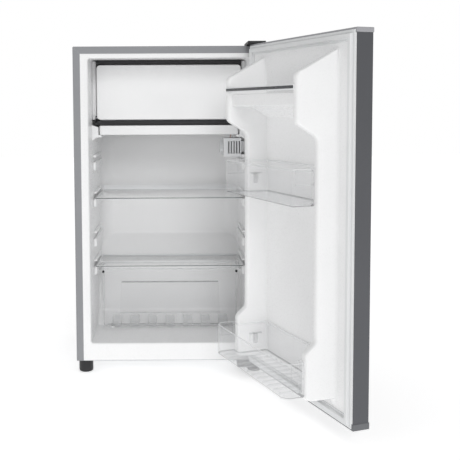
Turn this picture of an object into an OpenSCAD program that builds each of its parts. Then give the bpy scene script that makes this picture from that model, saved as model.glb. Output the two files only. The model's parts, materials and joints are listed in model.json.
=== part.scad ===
// Compact refrigerator with a single door, an ice box behind a drop-down flap,
// a drip tray, two glass shelves, a crisper drawer and two door balconies.
// Cabinet coordinates: X from the cabinet's middle, Y back from its front plane, Z up from
// its bottom edge. Door pieces are drawn closed and then turned about the hinge axis.
// The part's origin is on the floor, under the middle of the box round the open fridge.

/* [Cabinet] */
// Width of the cabinet and of the door
body_w = 472; // [460:2:520]
// Height of the cabinet without its feet
body_h = 788; // [780:2:820]
// Depth of the cabinet without the door and the condenser
body_d = 385; // [380:5:430]
// Height of the feet
feet_h = 34; // [26:1:40]
// Thickness of the painted steel skin
skin = 1; // [0.6:0.1:1.2]
// Width of the steel flange round the front
flange_w = 18; // [16:1:20]
// Foam wall between the side skin and the liner opening
side_wall = 36; // [34:1:42]

/* [Interior] */
// Wall thickness of the moulded liners
liner_t = 2; // [1.5:0.5:3]
// Height of the liner floor above the bottom edge
floor_z = 44; // [42:1:48]
// Height of the liner ceiling
ceiling_z = 760; // [752:2:764]
// Depth of the liner
rear_y = 345; // [340:5:360]
// Radius of the two upright corners at the back of the liner
rear_r = 40; // [20:2:60]
// Heights of the four shelf positions
shelf_levels = [225, 300, 404, 500];
// Distance from the front plane to the front edges of the shelves
shelf_front = 95; // [92:1:110]
// Thickness of the shelf glass
glass_t = 4; // [3:0.5:6]

/* [Ice box] */
// Width of the ice box
ice_w = 374; // [340:2:376]
// Underside of the ice box
ice_z = 604; // [600:1:620]
// Height of the ice box
ice_h = 144; // [120:2:146]
// Depth of the ice box behind its frame
ice_d = 222; // [180:2:230]
// Thickness of the flap
flap_t = 13; // [10:1:14]
// Height of the drip tray
tray_h = 24; // [18:1:28]

/* [Crisper] */
// Width of the crisper at its rim
crisper_w = 378; // [340:2:380]
// Height of the crisper's rim above the bottom edge
crisper_top = 213; // [190:1:215]
// Lean of the crisper's front, from rim to floor
crisper_lean = 36; // [20:2:44]
// Width of one flute in the crisper's floor
flute_w = 24; // [16:1:30]

/* [Door] */
// Thickness of the door between its skin and its inner flange
door_t = 38; // [34:1:44]
// Gap between the closed door and the cabinet, filled by the gasket
door_gap = 10; // [9:0.5:12]
// Height of the door
door_h = 789; // [780:1:820]
// Angle at which the door stands open
door_open = 110; // [60:1:128]
// Distance of the hinge axis from the cabinet's side
hinge_in = 15; // [14:0.5:17]
// Distance of the hinge axis in front of the cabinet
hinge_out = 28; // [27.5:0.5:30]
// Height of the door's top cap
top_cap_h = 10; // [8:1:14]
// Height of the door's bottom cap
bottom_cap_h = 14; // [10:1:18]
// Distance of the ribs inside the door from the door's edges
rib_in = 61; // [58:1:66]
// Thickness of the ribs inside the door
rib_w = 24; // [20:1:28]
// Reach of the upper balcony into the cabinet
mid_reach = 96; // [80:1:97]
// Reach of the bottom balcony into the cabinet
low_reach = 118; // [100:1:119]

/* [Cooling] */
// Number of passes in the condenser
passes = 12; // [8:2:14]
// Outer diameter of the condenser tube
condenser_tube_d = 4.8; // [4:0.2:6]
// Number of upright wires on each face of the condenser
wire_count = 24; // [16:1:30]
// Length of the compressor's shell
compressor_l = 178; // [160:2:190]
// Width of the compressor's shell
compressor_w = 116; // [100:2:120]

/* [Hidden] */
$fn = 48;

// Cabinet
half_w = body_w / 2;
liner_half = half_w - side_wall;
liner_rear_half = liner_half - 4;
flange_back = 3;
rail_t = 3;
arc_steps = 8;
// Compressor step moulded into the liner, and the machine room behind it
step_y = 212;
step_z = 215;
step_top_z = 272;
step_land = 46;
step_chamfer = 34;
room_y = 244;
room_z = 188;
// Shelves
shelf_half = liner_half - 6.5;
shelf_rear = rear_y - 26;
cover_rear = step_y + step_land - 4;
ledge_reach = 9.5;
ledge_h = 22;
trim_h = 12;
// Ice box
frame_y = shelf_front;
frame_bar_h = ceiling_z - ice_z - ice_h;
flap_gap = 0.8;
flap_bottom = ice_z + 2.5;
flap_top = ice_z + ice_h - 1;
flap_y = frame_y - 3;
pin_r = 2;
pin_z = flap_bottom + 5;
pin_y = flap_y + 5;
tray_top = ice_z - 13;
tray_bottom = tray_top - tray_h;
tray_half = 181;
tray_depth = 226;
// Crisper
crisper_y = 112;
glide_h = 4;
crisper_floor = floor_z + glide_h;
crisper_wall = 2.2;
crisper_back = step_y - 5;
// Door
hinge_x = half_w - hinge_in;
hinge_y = -hinge_out;
pin_hinge_r = 4;
bush_r = 6;
door_front = -door_gap - door_t;
rib_out = half_w - rib_in;
pan_depth = 4;
top_reach = 93;
balcony_wall = 2.2;
// The open door's free corner sets the box round the whole object
corner = turned([-half_w, door_front]);
inner_corner = turned([-half_w, -door_gap]);
condenser_y = body_d + 13;
back_limit = condenser_y + condenser_tube_d / 2 + 1.5;
cab_x = -(corner[0] - half_w) / 2;
cab_y = -(inner_corner[1] + back_limit) / 2;

// A point of the closed door, turned about the hinge axis by the angle of the open door
function turned(p) = [
    hinge_x + (p[0] - hinge_x) * cos(door_open) - (p[1] - hinge_y) * sin(door_open),
    hinge_y + (p[0] - hinge_x) * sin(door_open) + (p[1] - hinge_y) * cos(door_open)];

// ---------- placing and drawing helpers ----------

module in_cabinet() {
    translate([cab_x, cab_y, feet_h]) children();
}

module in_door() {
    in_cabinet()
        translate([hinge_x, hinge_y, 0])
            rotate([0, 0, door_open])
                translate([-hinge_x, -hinge_y, 0]) children();
}

// A block between two opposite corners
module block(a, b) {
    translate(a) cube(b - a);
}

// An outline in (Y, Z) drawn along X
module along_x(x0, x1, outline) {
    translate([x0, 0, 0]) rotate([90, 0, 90]) linear_extrude(x1 - x0) polygon(outline);
}

// An outline in (X, Z) drawn along Y
module along_y(y0, y1, outline) {
    translate([0, y1, 0]) rotate([90, 0, 0]) linear_extrude(y1 - y0) polygon(outline);
}

module rod_x(x0, x1, y, z, r) {
    translate([x0, y, z]) rotate([0, 90, 0]) cylinder(r = r, h = x1 - x0);
}

module rod_y(y0, y1, x, z, r) {
    translate([x, y1, z]) rotate([90, 0, 0]) cylinder(r = r, h = y1 - y0);
}

module rod_z(x, y, z0, z1, r) {
    translate([x, y, z0]) cylinder(r = r, h = z1 - z0);
}

// Both sides of the middle
module both_sides() {
    for (side = [0, 1]) mirror([side, 0, 0]) children();
}

// A round tube swept along a route, with its rings carried along without twist
function unit(v) = v / norm(v);
function heading(route, i) = unit(route[min(i + 1, len(route) - 1)] - route[max(i - 1, 0)]);
function across(d, n) = unit(n - d * (n * d));
function frames(route, i, n) = i == len(route) ? [] :
    let (m = across(heading(route, i), n)) concat([m], frames(route, i + 1, m));
module swept_tube(route, r, sides = 8) {
    start = abs(heading(route, 0)[2]) < 0.9 ? [0, 0, 1] : [1, 0, 0];
    normals = frames(route, 0, start);
    rings = [for (i = [0:len(route) - 1])
        let (d = heading(route, i), n = normals[i], b = cross(d, n))
        for (k = [0:sides - 1])
            route[i] + r * (cos(360 * k / sides) * n + sin(360 * k / sides) * b)];
    last = len(route) - 1;
    walls = [for (i = [0:last - 1]) for (k = [0:sides - 1])
        [i * sides + k, (i + 1) * sides + k, (i + 1) * sides + (k + 1) % sides,
            i * sides + (k + 1) % sides]];
    ends = [[for (k = [0:sides - 1]) k], [for (k = [sides - 1:-1:0]) last * sides + k]];
    polyhedron(rings, concat(walls, ends), convexity = 10);
}

// A route's corners rounded by an arc-like curve of three points each
function eased(route, r) = [for (i = [0:len(route) - 1])
    let (p = route[i])
    for (q = i == 0 || i == len(route) - 1 ? [p] :
        let (a = unit(route[i - 1] - p), b = unit(route[i + 1] - p))
        [p + a * r, p + (a + b) * r * 0.29, p + b * r]) q];

module pan_screw(x, y, z, head_r, shank_r, shank) {
    translate([x, y, z]) difference() {
        cylinder(r = head_r, h = head_r * 0.55);
        translate([0, 0, head_r * 0.25]) cylinder(r = head_r * 0.45, h = head_r, $fn = 6);
    }
    rod_z(x, y, z - shank, z, shank_r);
}

// ---------- cabinet ----------

// The liner's plan, grown by g: sides with a little draft and two round back corners
function liner_plan(g) = concat(
    [[-liner_half - g, -2]],
    [for (i = [0:arc_steps]) let (a = 180 - 90 * i / arc_steps)
        [-liner_rear_half + rear_r + (rear_r + g) * cos(a), rear_y - rear_r + (rear_r + g) * sin(a)]],
    [for (i = [0:arc_steps]) let (a = 90 - 90 * i / arc_steps)
        [liner_rear_half - rear_r + (rear_r + g) * cos(a), rear_y - rear_r + (rear_r + g) * sin(a)]],
    [[liner_half + g, -2]]);

// The compressor step, as a wedge that the liner space leaves out, shrunk by g
module step_wedge(g) {
    along_x(-half_w, half_w, [
        [step_y - step_chamfer + g * 1.4, floor_z - 20], [step_y - step_chamfer + g * 1.4, floor_z],
        [step_y + g, floor_z + step_chamfer - g * 0.4], [step_y + g, step_z - g],
        [step_y + step_land, step_z - g], [rear_y + 8, step_top_z + 5 - g],
        [rear_y + 8, floor_z - 20]]);
}

module liner_space(g) {
    difference() {
        translate([0, 0, floor_z - g])
            linear_extrude(ceiling_z - floor_z + 2 * g) polygon(liner_plan(g));
        step_wedge(g);
    }
}

// Volume that the liner's front flange and inner skin take up
module liner_block() {
    intersection() {
        liner_space(liner_t);
        block([-half_w, 0, 0], [half_w, body_d, body_h]);
    }
    block([-half_w + flange_w, 0, 1.5], [half_w - flange_w, flange_back, body_h - flange_w]);
}

// A shelf runner on the left wall: a ledge below the glass and a guide above it
module runner(level) {
    reach = -liner_half + ledge_reach;
    block([-liner_half - 0.5, shelf_front + 4, level - glass_t - ledge_h],
        [reach, shelf_rear - 20, level - glass_t]);
    block([-liner_half - 0.5, shelf_front + 14, level + 8], [reach, shelf_rear - 60, level + 14]);
}

// The rail that carries the drip tray on the left wall
module tray_rail() {
    along_y(shelf_front, rear_y - 60, [
        [-liner_half - 0.5, tray_bottom - 16], [-tray_half - 8, tray_bottom - 6],
        [-tray_half + 6, tray_bottom - 6], [-tray_half + 6, tray_bottom],
        [-tray_half - 2, tray_bottom], [-tray_half - 2, tray_top - 4],
        [-liner_half - 0.5, tray_top + 2]]);
}

module outer_wrap() {
    color([0.62, 0.63, 0.64]) in_cabinet() {
        both_sides() {
            block([-half_w, 0, 0], [-half_w + skin, body_d, body_h - skin]);
            block([-half_w + skin, 0, 0], [-half_w + flange_w, skin, body_h - flange_w]);
        }
        difference() {
            block([-half_w, 0, body_h - skin], [half_w, body_d, body_h]);
            for (p = top_screws) rod_z(p[0], p[1], body_h - 5, body_h + 5, 2.5);
            for (p = top_screws) rod_z(-p[0], p[1], body_h - 5, body_h + 5, 2.5);
        }
        block([-half_w + skin, 0, body_h - flange_w], [half_w - skin, skin, body_h - skin]);
    }
}

module cabinet_liner() {
    color([0.95, 0.96, 0.96]) in_cabinet() {
        difference() {
            liner_block();
            liner_space(0);
            tube_entry();
        }
        intersection() {
            liner_space(liner_t / 2);
            both_sides() {
                for (level = shelf_levels) runner(level);
                tray_rail();
                block([-160, shelf_front, floor_z - 1], [-150, step_y - step_chamfer - 4, crisper_floor]);
            }
        }
    }
}

// Where the screws of the top hinge plate go
top_screws = [[half_w - 12, 26], [half_w - 34, 26], [half_w - 23, 48]];
// Where the screws of the lower hinge bracket go
low_screws = [[half_w - 58, 18], [half_w - 58, 42], [half_w - 8, 60]];
// Where the two front feet go
foot_x = half_w - 21;
foot_y = 30;

module cabinet_foam() {
    inset = 1.5;
    color([0.93, 0.87, 0.68]) in_cabinet() difference() {
        block([-half_w + skin, skin, inset], [half_w - skin, body_d - skin, body_h - skin]);
        liner_block();
        liner_space(liner_t);
        block([-half_w, room_y, -1], [half_w, body_d + 1, room_z]);
        block([-half_w, 4, 0], [half_w, 70, inset + rail_t]);
        tube_entry();
        both_sides() {
            rod_z(foot_x, foot_y, 0, 26, 6);
            for (p = top_screws) rod_z(p[0], p[1], body_h - 16, body_h, 2.5);
        }
    }
}

module back_panel() {
    color([0.80, 0.81, 0.82]) in_cabinet() difference() {
        block([-half_w + skin, body_d - skin, room_z], [half_w - skin, body_d, body_h - skin]);
        tube_entry();
    }
}

module bottom_panel() {
    color([0.70, 0.71, 0.72]) in_cabinet() difference() {
        union() {
            block([-half_w + skin, skin, 0], [half_w - skin, room_y, 1.5]);
            block([-half_w + flange_w, 0, 0], [half_w - flange_w, skin, 1.5]);
        }
        both_sides() {
            rod_z(foot_x, foot_y, -1, 3, 4.6);
            for (p = low_screws) rod_z(p[0], p[1], -1, 3, 2.5);
        }
    }
}

module machine_room_panel() {
    color([0.72, 0.73, 0.74]) in_cabinet() {
        block([-half_w + skin, room_y, 0], [half_w - skin, room_y + 1, room_z - 1]);
        block([-half_w + skin, room_y, room_z - 1], [half_w - skin, body_d, room_z]);
    }
}

module front_rail() {
    color([0.55, 0.56, 0.58]) in_cabinet() difference() {
        block([-half_w + skin, 4, 1.5], [half_w - skin, 70, 1.5 + rail_t]);
        both_sides() {
            rod_z(foot_x, foot_y, 0, 10, 4.06);
            for (p = low_screws) rod_z(p[0], p[1], 0, 10, 2.5);
        }
    }
}

// ---------- ice box ----------

module evaporator() {
    sheet = 1.6;
    h = ice_w / 2 - 3;
    color([0.80, 0.82, 0.84]) in_cabinet() difference() {
        block([-h, frame_y + 14, ice_z + 1], [h, frame_y + ice_d, ice_z + ice_h - 1]);
        block([-h + sheet, frame_y + 13, ice_z + 1 + sheet],
            [h - sheet, frame_y + ice_d - sheet, ice_z + ice_h - 1 - sheet]);
    }
}

module evaporator_spacers() {
    top = ice_z + ice_h - 1;
    color("white") in_cabinet() for (x = [-130, 130], y = [150, 270]) {
        rod_z(x, y, top, ceiling_z, 8);
        rod_z(x, y, top - 1.6 - 3, top - 1.6, 5);
    }
}

module ice_box_frame() {
    h = ice_w / 2 + 3;
    color([0.10, 0.10, 0.11]) in_cabinet() difference() {
        union() {
            block([-h, frame_y, ice_z + ice_h], [h, frame_y + 14, ice_z + ice_h + frame_bar_h]);
            block([-h, frame_y, ice_z - 12], [h, frame_y + 14, ice_z]);
            both_sides() {
                block([-h, frame_y + 11, ice_z - 12], [-h + 7.5, frame_y + 14, ice_z + ice_h + 1]);
                block([-h - 6, frame_y + 1, ice_z - 12], [-h, frame_y + 12, ice_z - 5]);
                block([-h, flap_y + 0.5, ice_z - 12], [-h + 2.6, frame_y + 11, pin_z + 5]);
            }
        }
        both_sides() rod_x(-h - 1, -h + 6, pin_y, pin_z, pin_r);
    }
}

module flap_pins() {
    h = ice_w / 2 + 3;
    color([0.75, 0.76, 0.78]) in_cabinet() both_sides() rod_x(-h, -h + 12, pin_y, pin_z, pin_r);
}

module ice_box_flap() {
    h = ice_w / 2 - flap_gap;
    wall = 2;
    color([0.97, 0.98, 0.98]) in_cabinet() difference() {
        union() {
            block([-h, flap_y, flap_bottom], [h, flap_y + flap_t - 4, flap_top]);
            block([-h + 8, flap_y + 2, flap_bottom], [h - 8, flap_y + flap_t, flap_top]);
            both_sides() rod_x(-h, -h + 12, pin_y, pin_z, 4.4);
        }
        both_sides() rod_x(-h - 1, -h + 13, pin_y, pin_z, pin_r + 0.06);
        block([-h + 14, flap_y + wall, flap_bottom + 14],
            [h - 14, flap_y + flap_t + 1, flap_top - 10]);
    }
}

module flap_insulation() {
    h = ice_w / 2 - flap_gap - 14;
    color([0.88, 0.90, 0.92]) in_cabinet()
        block([-h, flap_y + 2, flap_bottom + 14], [h, flap_y + flap_t - 1, flap_top - 10]);
}

module drip_tray() {
    wall = 2;
    front = frame_y + 0.5;
    color([0.97, 0.98, 0.98]) in_cabinet() difference() {
        block([-tray_half, front, tray_bottom], [tray_half, front + tray_depth, tray_top]);
        block([-tray_half + wall, front + wall + 1, tray_bottom + wall],
            [tray_half - wall, front + tray_depth - wall, tray_top + 1]);
    }
}

// ---------- thermostat ----------

box_x = liner_half - 56;
box_y = 130;
box_z = 507;
box_h = 49;
box_d = 78;
knob_y = box_y + 34;
knob_z = box_z + 24;

module thermostat_housing() {
    wall = 2;
    side = liner_half - ledge_reach - 0.5;
    color([0.92, 0.93, 0.94]) in_cabinet() difference() {
        union() {
            block([box_x, box_y, box_z], [side, box_y + box_d, box_z + box_h]);
            intersection() {
                block([side - 1, box_y + 8, box_z + 12],
                    [liner_half + 1, box_y + box_d - 8, box_z + box_h - 8]);
                liner_space(0);
            }
        }
        block([box_x + wall, box_y + wall, box_z + wall],
            [side - wall, box_y + box_d - wall, box_z + box_h - wall]);
        rod_x(box_x - 1, box_x + 5, knob_y, knob_z, 4);
        for (i = [0:4])
            block([box_x + 12 + 7 * i, box_y - 1, box_z + 8],
                [box_x + 15 + 7 * i, box_y + 3, box_z + box_h - 8]);
    }
}

module thermostat_control() {
    color([0.70, 0.71, 0.72]) in_cabinet() {
        block([box_x + 2, knob_y - 16, knob_z - 14], [box_x + 30, knob_y + 16, knob_z + 14]);
        rod_x(box_x - 4, box_x + 2, knob_y, knob_z, 3);
    }
}

module thermostat_knob() {
    turn = 12;
    color([0.94, 0.95, 0.96]) in_cabinet() difference() {
        union() {
            rod_x(box_x - 9, box_x - 0.6, knob_y, knob_z, 17);
            for (i = [0:turn:359])
                translate([box_x - 9, knob_y, knob_z]) rotate([i, 0, 0])
                    block([0, -1, 15], [8.4, 1, 18]);
        }
        rod_x(box_x - 5, box_x, knob_y, knob_z, 3.06);
    }
}

module sensor_tube() {
    x = box_x + 20;
    y = knob_y + 8;
    back = frame_y + ice_d;
    route = [[x, y, box_z + box_h], [x, y, box_z + box_h + 5], [x + 6, y + 40, box_z + box_h + 5],
        [x + 8, y + 110, box_z + box_h + 5], [x + 8, back + 12, box_z + box_h + 6],
        [x + 8, back + 12, ice_z - 6], [x + 8, back + 1, ice_z + 10], [x + 8, back + 1, ice_z + 40]];
    color([0.72, 0.45, 0.30]) in_cabinet() swept_tube(eased(route, 3), 1, 8);
}

// ---------- shelves and crisper ----------

module shelf_glass(level, rear) {
    block([-shelf_half, shelf_front, level - glass_t], [shelf_half, rear, level]);
}

module shelf_trim(level, rear) {
    h = shelf_half - 4;
    along_x(-h, h, [[rear, level - glass_t], [rear + 5, level - glass_t], [rear + 5, level + trim_h],
        [rear + 2, level + trim_h], [rear - 6, level + 1.5], [rear - 6, level], [rear, level]]);
}

module upper_shelf_glass() {
    color([0.75, 0.88, 0.86, 0.5]) in_cabinet() shelf_glass(shelf_levels[2], shelf_rear - 6);
}

module upper_shelf_trim() {
    color("white") in_cabinet() shelf_trim(shelf_levels[2], shelf_rear - 6);
}

module crisper_cover_glass() {
    color([0.75, 0.88, 0.86, 0.5]) in_cabinet() shelf_glass(shelf_levels[0], cover_rear - 6);
}

module crisper_cover_trim() {
    level = shelf_levels[0];
    color("white") in_cabinet()
        along_x(-shelf_half + 6, shelf_half - 6, [[cover_rear - 6, level - glass_t],
            [cover_rear - 2, level - glass_t], [cover_rear - 2, level + 2.5],
            [cover_rear - 12, level + 2.5], [cover_rear - 12, level], [cover_rear - 6, level]]);
}

// The crisper's side outline, pulled in by g from the front, back and floor
function crisper_side(g) = [
    [crisper_y + g, crisper_top + (g > 0 ? 1 : 0)],
    [crisper_y + crisper_lean + g, crisper_floor + g],
    [step_y - step_chamfer - 6 - g * 0.4, crisper_floor + g],
    [crisper_back - g, crisper_floor + step_chamfer - 2 + g * 0.4],
    [crisper_back - g, crisper_top + (g > 0 ? 1 : 0)]];

module crisper_drawer() {
    half = crisper_w / 2;
    inner_y0 = crisper_y + crisper_lean + crisper_wall;
    flutes = floor((crisper_w - 60) / (2 * flute_w));
    lip = 7;
    color([0.82, 0.88, 0.90, 0.45]) in_cabinet() difference() {
        union() {
            along_x(-half + lip, half - lip, crisper_side(0));
            block([-half, crisper_y, crisper_top - 3], [half, crisper_back, crisper_top]);
            along_x(-128, 128, [[crisper_y - 5 + 11, 160], [crisper_y - 5 + 8, 177],
                [crisper_y + 8, 177], [crisper_y + 28.5, 88], [crisper_y + 21, 88]]);
        }
        difference() {
            along_x(-half + lip + crisper_wall, half - lip - crisper_wall,
                crisper_side(crisper_wall));
            for (i = [0:flutes - 1])
                block([(2 * i - flutes + 0.5) * flute_w, inner_y0, crisper_floor],
                    [(2 * i - flutes + 1.5) * flute_w, step_y - step_chamfer - 12,
                        crisper_floor + 6]);
        }
    }
}

module crisper_buffers() {
    color([0.12, 0.12, 0.13]) in_cabinet() both_sides()
        rod_y(crisper_y - 2.5, crisper_y + 2.2, -176, crisper_top - 8, 3);
}

// ---------- door ----------

// Outline in (Y, Z) of a rib inside the closed door, pulled in by g
rib_mid_z = 395;
rib_half_h = 358;
function rib_point(d, z, g) =
    [-door_gap + d - g, rib_mid_z + (z - rib_mid_z) * (1 - g / rib_half_h)];
function rib_outline(g) = [for (p = [[-6, 30], [0, 30], [9, 46], [56, 47], [66, 53], [70, 63], [70, 141],
    [66, 147], [48, 161], [45, 168], [45, 576], [50, 583], [88, 602], [top_reach, 608],
    [top_reach, 704], [88, 711], [10, 751], [0, 753], [-6, 753]]) rib_point(p[0], p[1], g)];

// The moulded ledge between the ribs, near the top of the door
ledge_reach_out = 84;
ledge_low = 639;
ledge_high = 667;
function ledge_outline(g) = [[-door_gap - 6 - g, ledge_low - 22 + g],
    [-door_gap - g, ledge_low - 22 + g], [-door_gap + 30 - g, ledge_low - 4 + g],
    [-door_gap + ledge_reach_out - g, ledge_low + g],
    [-door_gap + ledge_reach_out - g, ledge_high - g],
    [-door_gap + ledge_reach_out - 4 - g, ledge_high - g],
    [-door_gap + ledge_reach_out - 8 - g, ledge_high - 8 - g], [-door_gap + 4 - g, ledge_high - 8 - g],
    [-door_gap - g, ledge_high + 6 - g], [-door_gap - 6 - g, ledge_high + 6 - g]];

// Everything that the door's moulded inner skin covers, pulled in by g
module door_inner_form(g) {
    difference() {
        block([-half_w + skin + g, -door_gap - 10 - g, bottom_cap_h],
            [half_w - skin - g, -door_gap - g, door_h - top_cap_h]);
        block([-rib_out + rib_w - g, -door_gap - pan_depth - g, 44 - g],
            [rib_out - rib_w + g, 0, 746 + g]);
    }
    for (side = [0, 1]) mirror([side, 0, 0])
        along_x(-rib_out + g, -rib_out + rib_w - g, rib_outline(g));
    along_x(-rib_out + rib_w - g - 1, rib_out - rib_w + g + 1, ledge_outline(g));
}

// Undersides and heights of the two balconies
mid_z = 440;
mid_h = 75;
low_z = 57;
low_h = 71;
lug_h = 16;

// Two lugs on the left rib that a balcony hangs on
module lugs(z) {
    for (y = [2, 22])
        block([-rib_out + rib_w - 1, y, z], [-rib_out + rib_w + 3.2, y + 8, z + lug_h]);
}

module door_outer_panel() {
    color([0.42, 0.43, 0.45]) in_door() {
        block([-half_w, door_front, bottom_cap_h], [half_w, door_front + skin, door_h - top_cap_h]);
        both_sides()
            block([-half_w, door_front + skin, bottom_cap_h],
                [-half_w + skin, -door_gap, door_h - top_cap_h]);
    }
}

module door_cap(z0, z1) {
    difference() {
        block([-half_w - 0.5, door_front - 0.5, z0], [half_w + 0.5, -door_gap, z1]);
        rod_z(hinge_x, hinge_y, z0 - 1, z1 + 1, bush_r);
    }
}

module door_top_cap() {
    color([0.60, 0.60, 0.62]) in_door() door_cap(door_h - top_cap_h, door_h);
}

module door_bottom_cap() {
    color([0.44, 0.44, 0.46]) in_door() door_cap(0, bottom_cap_h);
}

module door_foam() {
    color([0.93, 0.87, 0.68]) in_door() difference() {
        union() {
            block([-half_w + skin, door_front + skin, bottom_cap_h],
                [half_w - skin, -door_gap - 10 - liner_t, door_h - top_cap_h]);
            door_inner_form(liner_t);
        }
        rod_z(hinge_x, hinge_y, 0, 30, bush_r);
        rod_z(hinge_x, hinge_y, door_h - 30, door_h, bush_r);
    }
}

module door_liner() {
    color([0.97, 0.98, 0.98]) in_door() {
        difference() {
            door_inner_form(0);
            door_inner_form(liner_t);
        }
        both_sides() {
            lugs(mid_z + 26);
            lugs(low_z + 26);
        }
    }
}

// The frame-shaped profile of the gasket: a band from a to b inside its outer edge
gasket_edge = 4;
module gasket_band(a, b, y0, y1) {
    x = half_w - gasket_edge;
    difference() {
        block([-x + a, y0, gasket_edge + a], [x - a, y1, door_h - gasket_edge - a]);
        block([-x + b, y0 - 1, gasket_edge + b], [x - b, y1 + 1, door_h - gasket_edge - b]);
    }
}

module door_gasket() {
    color([0.93, 0.94, 0.94]) in_door() difference() {
        union() {
            gasket_band(0, 22, -door_gap, -door_gap + 2.5);
            gasket_band(7, 17, -door_gap + 2, -door_gap + 8.5);
        }
        gasket_band(9, 15, -door_gap + 4.5, -door_gap + 7.5);
    }
}

module gasket_magnets() {
    color([0.25, 0.22, 0.20]) in_door() gasket_band(9, 15, -door_gap + 4.5, -door_gap + 7.5);
}

module door_bushes() {
    bush_l = 26;
    color([0.93, 0.93, 0.90]) in_door() for (z = [0, door_h - bush_l]) difference() {
        rod_z(hinge_x, hinge_y, z, z + bush_l, bush_r);
        rod_z(hinge_x, hinge_y, z - 1, z + bush_l + 1, pin_hinge_r + 0.06);
    }
}

module door_retaining_bar() {
    y = -door_gap + top_reach;
    z = 677;
    color([0.22, 0.23, 0.25]) in_door() {
        block([-rib_out + 12, y, z - 3.5], [rib_out - 12, y + 3.6, z + 3.5]);
        both_sides()
            block([-rib_out + rib_w + 0.5, y - 8, z - 3.5], [-rib_out + rib_w + 5, y, z + 3.5]);
    }
}

// Plan of a balcony, pulled in by g: a wide front part and a back part between the ribs
balcony_back = -door_gap - pan_depth + 1;
function balcony_plan(reach, rib_d, half_f, cut, g) =
    let (half_r = rib_out - rib_w - 4, y_s = -door_gap + rib_d + 0.8, y_f = -door_gap + reach)
    let (left = [[-half_r + g, balcony_back + g], [-half_r + g, y_s + g], [-half_f + g, y_s + g],
        [-half_f + g, y_f - cut - g * 0.4], [-half_f + cut + g * 0.4, y_f - g]])
    concat(left, [for (i = [4:-1:0]) [-left[i][0], left[i][1]]]);

module balcony(z, h, reach, rib_d, half_f, cut) {
    half_r = rib_out - rib_w - 4;
    bar = 3;
    difference() {
        translate([0, 0, z]) linear_extrude(h) polygon(balcony_plan(reach, rib_d, half_f, cut, 0));
        translate([0, 0, z + balcony_wall]) linear_extrude(h)
            polygon(balcony_plan(reach, rib_d, half_f, cut, balcony_wall));
    }
    both_sides() {
        top = z + 26 + lug_h;
        block([-half_r - 3.2, 0, top], [-half_r + 0.5, 32, top + bar]);
        block([-half_r - 3.2, 11, z + 20], [-half_r + 0.5, 21, top]);
    }
}

module balcony_mid() {
    color([0.85, 0.90, 0.92, 0.45]) in_door()
        balcony(mid_z, mid_h, mid_reach, 45, rib_out - 12, 1.5);
}

module balcony_bottom() {
    color([0.85, 0.90, 0.92, 0.45]) in_door()
        balcony(low_z, low_h, low_reach, 70, rib_out - 2, 12);
}

// ---------- hinges and feet ----------

plate_t = 3;
hinge_lift = 1.2;

module top_hinge_plate() {
    z = door_h + hinge_lift;
    color([0.30, 0.30, 0.32]) in_cabinet() {
        difference() {
            along_x(half_w - 42, half_w - 2, [[62, body_h], [62, body_h + plate_t],
                [2, body_h + plate_t], [-1, z + plate_t], [hinge_y - 12, z + plate_t],
                [hinge_y - 12, z], [-2, z], [1, body_h]]);
            for (p = top_screws) rod_z(p[0], p[1], body_h - 1, body_h + 9, 2.5);
        }
        rod_z(hinge_x, hinge_y, door_h - 20, z, pin_hinge_r);
    }
}

module top_hinge_screws() {
    color([0.78, 0.78, 0.80]) in_cabinet()
        for (p = top_screws) pan_screw(p[0], p[1], body_h + plate_t, 4.4, 2.5, 16);
}

module top_hinge_cover() {
    wall = 1.2;
    y0 = hinge_y - 13.5;
    top = door_h + hinge_lift + plate_t + 3.4;
    color([0.09, 0.09, 0.10]) in_cabinet() difference() {
        block([half_w - 43.5, y0, body_h], [half_w - 0.5, 64, top]);
        block([half_w - 43.5 + wall, y0 + wall, body_h - 1], [half_w - 0.5 - wall, 64 - wall, top - wall]);
        block([half_w - 50, y0 - 1, body_h - 1], [half_w + 5, 0.5, door_h + hinge_lift - 0.4]);
    }
}

module lower_hinge_bracket() {
    color([0.30, 0.30, 0.32]) in_cabinet() {
        difference() {
            along_x(half_w - 68, half_w - 2, [[72, -plate_t], [72, 0], [2, 0], [-2, -plate_t],
                [hinge_y - 12, -plate_t], [hinge_y - 12, -2 * plate_t], [-3, -2 * plate_t],
                [1, -plate_t]]);
            for (p = low_screws) rod_z(p[0], p[1], -9, 1, 2.5);
            rod_z(foot_x, foot_y, -9, 1, 5.2);
        }
        rod_z(hinge_x, hinge_y, -plate_t, -0.4, 8);
        rod_z(hinge_x, hinge_y, -0.4, 20, pin_hinge_r);
    }
}

module lower_hinge_screws() {
    color([0.78, 0.78, 0.80]) in_cabinet() for (p = low_screws)
        translate([0, 0, -plate_t]) mirror([0, 0, 1])
            pan_screw(p[0], p[1], 0, 4.4, 2.5, plate_t + 1.5 + rail_t - 0.1);
}

module hinge_hole_plugs() {
    color([0.60, 0.61, 0.62]) in_cabinet() {
        for (p = top_screws) {
            rod_z(-p[0], p[1], body_h, body_h + 1.4, 5.5);
            rod_z(-p[0], p[1], body_h - 8, body_h, 2.5);
        }
        for (p = low_screws) {
            rod_z(-p[0], p[1], -1.4, 0, 5.5);
            rod_z(-p[0], p[1], 0, 4, 2.5);
        }
    }
}

module front_foot(side) {
    color([0.07, 0.07, 0.08]) in_cabinet() translate([side * foot_x, foot_y, 0])
        rotate_extrude() polygon([[0, -feet_h], [14, -feet_h], [16.6, -feet_h + 1.2],
            [18, -feet_h + 4], [18, -6], [17, -4], [4, -4], [4, 22], [0, 22]]);
}

module front_foot_left() {
    front_foot(-1);
}

module front_foot_right() {
    front_foot(1);
}

module rear_feet() {
    color([0.07, 0.07, 0.08]) in_cabinet() both_sides()
        translate([-foot_x, body_d - 32, 0])
            rotate_extrude() polygon([[0, -feet_h], [12, -feet_h], [15, -feet_h + 3],
                [15, 0], [0, 0]]);
}

// ---------- machine room ----------

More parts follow.
